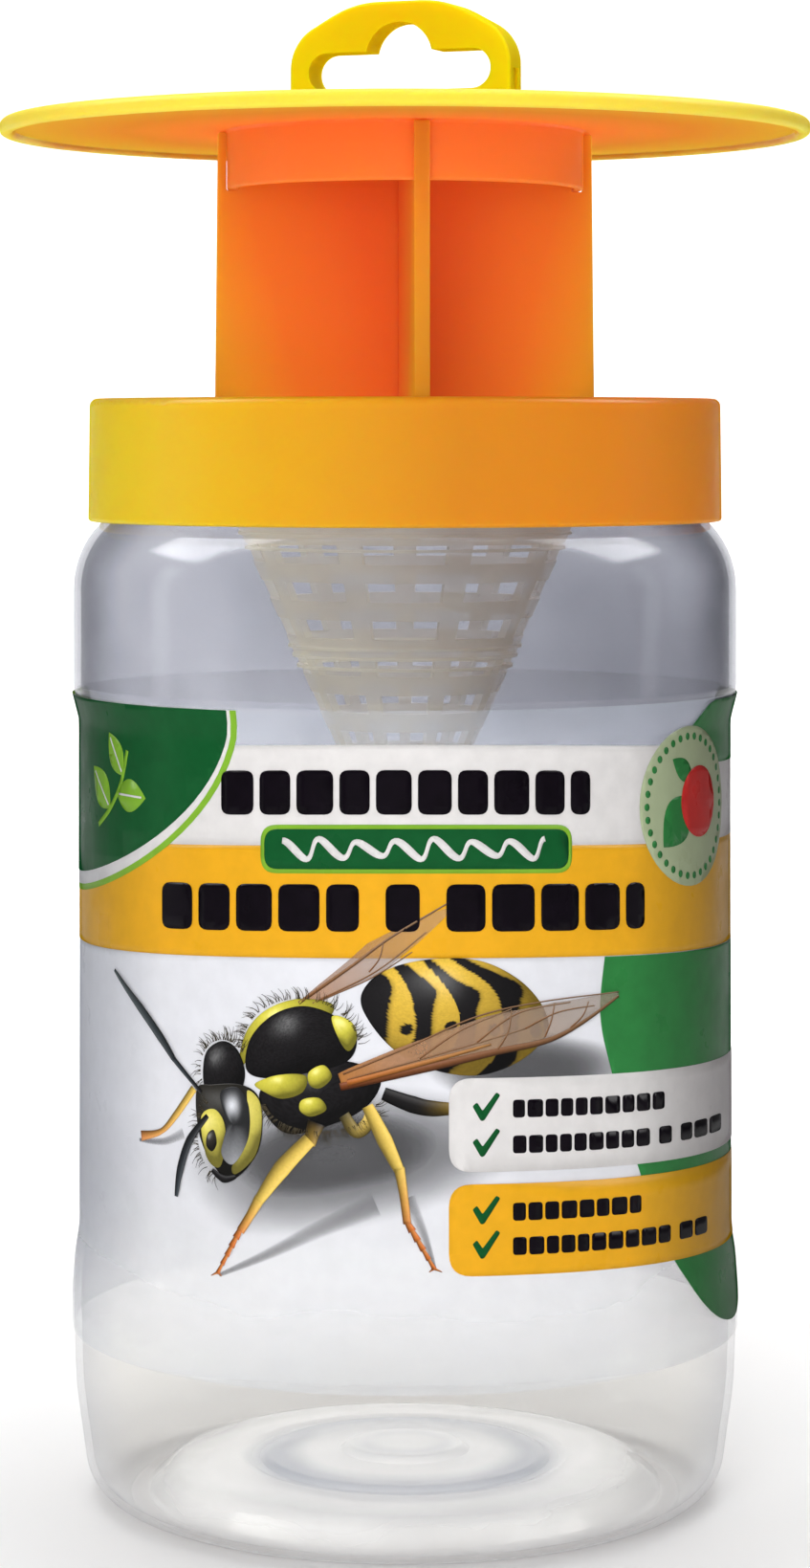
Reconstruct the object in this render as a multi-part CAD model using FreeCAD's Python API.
import FreeCAD, Part
import math
import os

# Hanging wasp trap: a clear blow-moulded jar with a printed shrink sleeve, a screw lid with a
# windowed entry cone under it, a crossed-vane stem on it, and a rain roof with a swivelling hanger.
# Millimetres. The origin is the centre of the jar's standing ring, +Z is up and -Y is the front.

# Jar
JAR_RADIUS = 50.0
PANEL_RADIUS = 48.8  # the recessed label panel
NECK_RADIUS = 43.9
JAR_WALL = 1.1
JAR_RIM = 161.2  # height of the mouth
SHOULDER = 147.9  # height where the shoulder meets the neck
PUSH_UP = 5.6  # height of the base's raised centre
STANDING_RADIUS = 41.5

# Label sleeve
SLEEVE_BOTTOM = 25.6
SLEEVE_TOP = 120.8
SLEEVE_GAP = 0.04
SLEEVE_FILM = 0.16

# Screw thread, shared by the jar's neck and the lid
PITCH = 5.0
TURNS = 1.25
JAR_THREAD_CREST = 45.5
JAR_THREAD_START = 151.5  # height of the ridge's middle where it begins
LID_THREAD_CREST = 44.4
THREAD_DROP = 1.97  # the lid's ridge lies this far under the neck's
THREAD_ROOT_EMBED = 0.3

# Screw lid
LID_RADIUS = 47.8
LID_BORE = 46.0
LID_BOTTOM = 146.1
LID_TOP = 164.5
LID_PLATE = 1.8
ENTRANCE_RADIUS = 26.0
CATCH_RADIUS = 44.9
CATCH_COUNT = 3
CATCH_ANGLE = 24.0

# Entry cone
CONE_SLOPE = 0.4455  # radius gained per millimetre of height
CONE_WALL = 1.31  # measured level, not square to the slope
CONE_EXIT = 102.5
CONE_RADIUS_AT = (143.3, 24.4)  # a height, and the outer radius there
FLANGE_RADIUS = 45.2
FLANGE_GAP = 0.05  # above and below the flange
COLUMNS = 9
WINDOW_ANGLE = 31.0
WINDOW_TOP_ROW = 141.5
WINDOW_ROWS = 7
WINDOW_PITCH = 5.62
WINDOW_HEIGHT = 2.8
HOOP_HEIGHTS = (144.3, 142.1, 127.3, 125.9, 124.3)
HOOP_TALL = 0.45
HOOP_PROUD = 0.4

# Vane cross
VANE_THICKNESS = 2.2
VANE_HALF_BOTTOM = 28.7
VANE_HALF_TOP = 28.3
VANE_TURN = 5.0  # degrees about +Z
TONGUE_BOTTOM = 159.5
BARB_REACH = 0.7

# Rain roof
ROOF_RADIUS = 61.1
ROOF_UNDERSIDE = 204.8
ROOF_TOP = 206.4
RIM_BOTTOM = 204.0
COLLAR_OUTER = 26.95
COLLAR_INNER = 25.5
COLLAR_BOTTOM = 196.0
NECK_HOLE_RADIUS = 3.06

# Hanger
HANGER_WIDTH = 35.8
HANGER_THICKNESS = 5.2
HANGER_BOTTOM = 206.5
HANGER_TOP = 224.5
HANGER_TURN = -22.0  # degrees about +Z
SLOT_WIDTH = 29.6
SLOT_BOTTOM = 211.0
SLOT_TOP = 217.0
HUMP_RADIUS = 5.4
HUMP_DROP = 1.05  # the hump's centre under the slot's top edge
SPINDLE_RADIUS = 3.0
SNAP_RADIUS = 3.9

Z_AXIS = FreeCAD.Vector(0, 0, 1)
Y_AXIS = FreeCAD.Vector(0, 1, 0)
ORIGIN = FreeCAD.Vector(0, 0, 0)


# Shape helpers


def rounded_wire(corners):
    """Closed wire in the XZ plane through (x, z, fillet) corners, each fillet a tangent arc."""
    points = [FreeCAD.Vector(x, 0, z) for x, z, _ in corners]
    starts, middles, ends = [], [], []
    for i, (_, _, fillet) in enumerate(corners):
        back = (points[i - 1] - points[i]).normalize()
        onward = (points[(i + 1) % len(points)] - points[i]).normalize()
        half = back.getAngle(onward) / 2
        reach = fillet / math.tan(half)
        starts.append(points[i] + back * reach)
        ends.append(points[i] + onward * reach)
        if fillet:
            bisector = (back + onward).normalize()
            middles.append(points[i] + bisector * (fillet / math.sin(half) - fillet))
        else:
            middles.append(points[i])
    edges = []
    for i, (_, _, fillet) in enumerate(corners):
        if fillet:
            edges.append(Part.Arc(starts[i], middles[i], ends[i]).toShape())
        edges.append(Part.LineSegment(ends[i], starts[(i + 1) % len(starts)]).toShape())
    return Part.Wire(edges)


def turned(corners, degrees=360.0):
    """Solid of revolution about Z of a rounded outline."""
    return Part.Face(rounded_wire(corners)).revolve(ORIGIN, Z_AXIS, degrees)


def plate(corners, thickness):
    """Plate with a rounded outline in the XZ plane, centred on it."""
    face = Part.Face(rounded_wire(corners))
    face.translate(FreeCAD.Vector(0, -thickness / 2, 0))
    return face.extrude(Y_AXIS * thickness)


def box(x_range, y_range, z_range):
    """Box between three pairs of limits."""
    low = FreeCAD.Vector(x_range[0], y_range[0], z_range[0])
    sides = (x_range[1] - x_range[0], y_range[1] - y_range[0], z_range[1] - z_range[0])
    return Part.makeBox(*sides, low)


def spun(shape, degrees):
    """Copy of a shape turned about Z."""
    copy = shape.copy()
    copy.rotate(ORIGIN, Z_AXIS, degrees)
    return copy


def ring_of(shape, count):
    """Evenly spaced copies of a shape about Z."""
    return [spun(shape, i * 360.0 / count) for i in range(count)]


def offset_path(path, distance):
    """Open (r, z, fillet) path moved square to itself, to its left for a positive distance.

    Walls keep their thickness: fillets that bend around the moved side shrink, the others grow.
    The two ends are left sharp.
    """
    normals = []
    for (r0, z0, _), (r1, z1, _) in zip(path, path[1:]):
        length = math.hypot(r1 - r0, z1 - z0)
        normals.append(((z0 - z1) / length, (r1 - r0) / length))
    moved = []
    for i, (r, z, fillet) in enumerate(path):
        before = normals[max(i - 1, 0)]
        after = normals[min(i, len(normals) - 1)]
        share = distance / (1 + before[0] * after[0] + before[1] * after[1])
        left_turn = before[0] * after[1] - before[1] * after[0] > 0
        if i in (0, len(path) - 1):
            fillet = 0
        elif fillet:
            fillet = max(fillet - distance if left_turn else fillet + distance, 0.2)
        moved.append((r + share * (before[0] + after[0]), z + share * (before[1] + after[1]), fillet))
    return moved


def shell_along(path, outer, inner):
    """Shell of revolution between two offsets of one path."""
    return turned(offset_path(path, outer) + offset_path(path, inner)[::-1])


def thread(root, crest, root_width, crest_width, start):
    """Right-hand ridge of trapezoid section, sunk into the wall that it stands on."""
    step = math.copysign(THREAD_ROOT_EMBED, root - crest)
    section = [
        (root + step, start - root_width / 2, 0),
        (crest, start - crest_width / 2, 0),
        (crest, start + crest_width / 2, 0),
        (root + step, start + root_width / 2, 0),
    ]
    helix = Part.makeHelix(PITCH, PITCH * TURNS, root)
    helix.translate(Z_AXIS * start)
    return Part.Wire(helix.Edges).makePipeShell([rounded_wire(section)], True, True)


# The pieces


def jar_base():
    """Underside of the jar, from its centre out to the standing ring: push-up, bead and ring."""
    return [
        (0.0, PUSH_UP, 0),
        (8.2, PUSH_UP, 0.6),
        (9.4, PUSH_UP - 0.9, 0.6),
        (20.5, PUSH_UP - 1.3, 0.6),
        (21.6, PUSH_UP - 2.0, 0.6),
        (23.4, PUSH_UP - 2.0, 0.6),
        (24.5, PUSH_UP - 1.6, 0.6),
        (34.5, PUSH_UP - 2.4, 2.5),
        (STANDING_RADIUS - 3.5, 0.0, 1.5),
    ]


def jar_side():
    """Outside of the jar's wall, from the heel up to the shoulder."""
    return [
        (JAR_RADIUS - 2.8, 0.0, 6.8),
        (JAR_RADIUS - 0.4, 17.0, 60.0),
        (JAR_RADIUS - 0.05, 30.0, 40.0),
        (JAR_RADIUS - 0.5, 36.5, 15.0),
        (PANEL_RADIUS + 0.05, 40.5, 15.0),
        (PANEL_RADIUS, 116.5, 4.0),
        (JAR_RADIUS, 121.2, 4.0),
        (JAR_RADIUS, 141.6, 14.0),
    ]


def jar_neck():
    """Outside of the plain neck, up to the mouth."""
    return [(NECK_RADIUS, SHOULDER, 1.5), (NECK_RADIUS, JAR_RIM, 0)]


def jar():
    """Blow-moulded jar of even wall, with the thread on its neck."""
    body = shell_along(jar_base() + jar_side() + jar_neck(), 0.0, JAR_WALL)
    ridge = thread(NECK_RADIUS, JAR_THREAD_CREST, 2.6, 1.4, JAR_THREAD_START)
    return body.fuse(ridge)


def label_sleeve():
    """Shrink film that follows the jar's side over the label panel and the bulges beside it."""
    film = shell_along(jar_side(), -SLEEVE_GAP - SLEEVE_FILM, -SLEEVE_GAP)
    reach = (-2 * JAR_RADIUS, 2 * JAR_RADIUS)
    return film.common(box(reach, reach, (SLEEVE_BOTTOM, SLEEVE_TOP)))


def screw_lid():
    """Smooth-sided lid with an entrance hole, an inner thread and catches for the cone's flange."""
    under = LID_TOP - LID_PLATE
    shell = turned(
        [
            (ENTRANCE_RADIUS, under, 0.3),
            (ENTRANCE_RADIUS, LID_TOP, 0.5),
            (LID_RADIUS - 0.2, LID_TOP, 1.2),
            (LID_RADIUS, LID_BOTTOM, 0.5),
            (LID_BORE, LID_BOTTOM, 0.4),
            (LID_BORE, under, 0.6),
        ]
    )
    lid_start = JAR_THREAD_START - THREAD_DROP
    ridge = thread(LID_BORE, LID_THREAD_CREST, 2.2, 1.2, lid_start)
    catch_top = JAR_RIM - 0.35
    catch = turned(
        [
            (LID_BORE + THREAD_ROOT_EMBED, catch_top - 1.5, 0),
            (LID_BORE, catch_top - 1.5, 0),
            (CATCH_RADIUS, catch_top - 0.7, 0),
            (CATCH_RADIUS, catch_top, 0),
            (LID_BORE + THREAD_ROOT_EMBED, catch_top, 0),
        ],
        CATCH_ANGLE,
    )
    return shell.fuse([ridge] + ring_of(catch, CATCH_COUNT))


def cone_radius(height):
    """Outer radius of the entry cone at a height."""
    return CONE_RADIUS_AT[1] + (height - CONE_RADIUS_AT[0]) * CONE_SLOPE


def band_at(height, tall, inside, outside, degrees=360.0):
    """Band of square section centred on a height, all the way round or through an angle."""
    low = height - tall / 2
    high = height + tall / 2
    return turned([(inside, low, 0), (outside, low, 0), (outside, high, 0), (inside, high, 0)], degrees)


def cone_window(height):
    """Cutter for one window of the entry cone, centred on the front."""
    radius = cone_radius(height)
    inside = radius - 2 * CONE_WALL
    outside = radius + 2 * CONE_WALL
    return spun(band_at(height, WINDOW_HEIGHT, inside, outside, WINDOW_ANGLE), -90.0 - WINDOW_ANGLE / 2)


def cone_hoop(height):
    """Thin raised hoop around the entry cone, which also crosses the windows."""
    radius = cone_radius(height)
    return band_at(height, HOOP_TALL, radius - CONE_WALL / 2, radius + HOOP_PROUD)


def entry_cone():
    """Funnel with rows of windows, hung by a flange between the jar's mouth and the lid."""
    top = LID_TOP - LID_PLATE - FLANGE_GAP
    flange_low = JAR_RIM + FLANGE_GAP
    funnel = turned(
        [
            (cone_radius(top) - CONE_WALL, top, 0.3),
            (FLANGE_RADIUS, top, 0.3),
            (FLANGE_RADIUS, flange_low, 0.3),
            (cone_radius(flange_low), flange_low, 0.8),
            (cone_radius(CONE_EXIT), CONE_EXIT, 0.3),
            (cone_radius(CONE_EXIT) - CONE_WALL, CONE_EXIT, 0.3),
        ]
    )
    windows = []
    for row in range(WINDOW_ROWS):
        windows += ring_of(cone_window(WINDOW_TOP_ROW - row * WINDOW_PITCH), COLUMNS)
    return funnel.cut(windows).fuse([cone_hoop(height) for height in HOOP_HEIGHTS])


def vane():
    """One vane of the stem, with barbs that snap under the lid and notches for the roof's collar."""
    under = LID_TOP - LID_PLATE
    tongue = ENTRANCE_RADIUS - 0.15
    barb = ENTRANCE_RADIUS + BARB_REACH
    finger = COLLAR_OUTER + 0.12
    inside = COLLAR_INNER - 0.25
    notch_floor = COLLAR_BOTTOM - 0.15
    top = ROOF_UNDERSIDE - 0.2
    relief = (6.0, 200.6)  # half-width and floor of the space for the hanger's snap head
    right = [
        (tongue - 1.2, TONGUE_BOTTOM, 0.3),
        (barb, under - 1.2, 0.2),
        (barb, under - 0.1, 0),
        (tongue, under - 0.1, 0),
        (tongue, LID_TOP, 0),
        (VANE_HALF_BOTTOM, LID_TOP, 0),
        (VANE_HALF_TOP, top, 0.4),
        (finger, top, 0.4),
        (finger, notch_floor, 0.3),
        (inside, notch_floor, 0.3),
        (inside, top, 0.8),
        (relief[0], top, 0.4),
        (relief[0], relief[1], 0.4),
    ]
    left = [(-x, z, fillet) for x, z, fillet in reversed(right)]
    return plate(right + left, VANE_THICKNESS)


def vane_cross():
    """Stem of two crossed vanes that divides the entrance into four."""
    across = vane()
    return spun(across.fuse(spun(across, 90.0)), VANE_TURN)


def rain_roof():
    """Wide disc with a rounded rim lip, a collar that drops over the vanes and a spindle hole."""
    return turned(
        [
            (NECK_HOLE_RADIUS, ROOF_UNDERSIDE, 0.2),
            (NECK_HOLE_RADIUS, ROOF_TOP, 0.2),
            (ROOF_RADIUS, ROOF_TOP, 1.1),
            (ROOF_RADIUS, RIM_BOTTOM, 0.8),
            (ROOF_RADIUS - 1.8, RIM_BOTTOM, 0.7),
            (ROOF_RADIUS - 2.2, ROOF_UNDERSIDE, 0.3),
            (COLLAR_OUTER, ROOF_UNDERSIDE, 0.5),
            (COLLAR_OUTER, COLLAR_BOTTOM, 0.4),
            (COLLAR_INNER, COLLAR_BOTTOM, 0.4),
            (COLLAR_INNER, ROOF_UNDERSIDE, 0.5),
        ]
    )


def hanger_plate():
    """Flat arched tag above the roof, with small recesses low on its edges."""
    half = HANGER_WIDTH / 2
    right = [
        (half, HANGER_BOTTOM, 0.4),
        (half, HANGER_TOP - 5.7, 7.0),
        (7.5, HANGER_TOP, 16.0),
    ]
    left = [(-x, z, fillet) for x, z, fillet in reversed(right)]
    tag = plate(right + left, HANGER_THICKNESS)
    edges = [edge for edge in tag.Edges if abs(edge.BoundBox.YLength) < 0.01]
    tag = tag.makeFillet(0.45, edges)
    recess = box((half - 0.5, half + 1.0), (-1.2, 1.2), (HANGER_BOTTOM + 1.0, HANGER_BOTTOM + 7.5))
    return tag.cut([recess, spun(recess, 180.0)])


def hang_slot():
    """Cutter for the hook's slot: a long round-ended hole with a hump over its middle."""
    half = SLOT_WIDTH / 2
    end = (SLOT_TOP - SLOT_BOTTOM) / 2 - 0.01
    depth = 2 * HANGER_THICKNESS
    hole = plate(
        [
            (-half, SLOT_BOTTOM, end),
            (half, SLOT_BOTTOM, end),
            (half, SLOT_TOP, end),
            (-half, SLOT_TOP, end),
        ],
        depth,
    )
    hump_centre = FreeCAD.Vector(0, -depth / 2, SLOT_TOP - HUMP_DROP)
    hump = Part.makeCylinder(HUMP_RADIUS, depth, hump_centre, Y_AXIS)
    below = box((-half, half), (-depth, depth), (SLOT_BOTTOM - 2 * HUMP_RADIUS, SLOT_BOTTOM + 1.0))
    return hole.fuse(hump.cut(below))


def hanger_spindle():
    """Split spindle through the roof, with a tapered snap head under it."""
    head_top = ROOF_UNDERSIDE - 0.2
    spindle = turned(
        [
            (0.0, head_top - 2.6, 0),
            (SPINDLE_RADIUS - 0.6, head_top - 2.6, 0.3),
            (SNAP_RADIUS, head_top - 0.6, 0.2),
            (SNAP_RADIUS, head_top, 0.1),
            (SPINDLE_RADIUS, head_top, 0),
            (SPINDLE_RADIUS, HANGER_BOTTOM + 1.0, 0),
            (0.0, HANGER_BOTTOM + 1.0, 0),
        ]
    )
    split = box((-SNAP_RADIUS, SNAP_RADIUS), (-0.45, 0.45), (head_top - 3.0, ROOF_TOP - 0.8))
    return spindle.cut(split)


def hanger():
    """Hanging tag that swivels in the roof."""
    shaped = hanger_plate().cut(hang_slot()).fuse(hanger_spindle())
    return spun(shaped, HANGER_TURN)


PIECES = {
    "jar": jar,
    "label_sleeve": label_sleeve,
    "screw_lid": screw_lid,
    "entry_cone": entry_cone,
    "vane_cross": vane_cross,
    "rain_roof": rain_roof,
    "hanger": hanger,
}

os.makedirs("parts", exist_ok=True)
for name, make in PIECES.items():
    solid = make().removeSplitter()
    solid.exportStep(f"parts/{name}.step")
    size = solid.BoundBox
    state = f"{len(solid.Solids)} solid, valid {solid.isValid()}, {solid.Volume / 1000:.2f} cm3"
    print(f"{name}: {state}, z {size.ZMin:.2f} to {size.ZMax:.2f}, {len(solid.Faces)} faces")
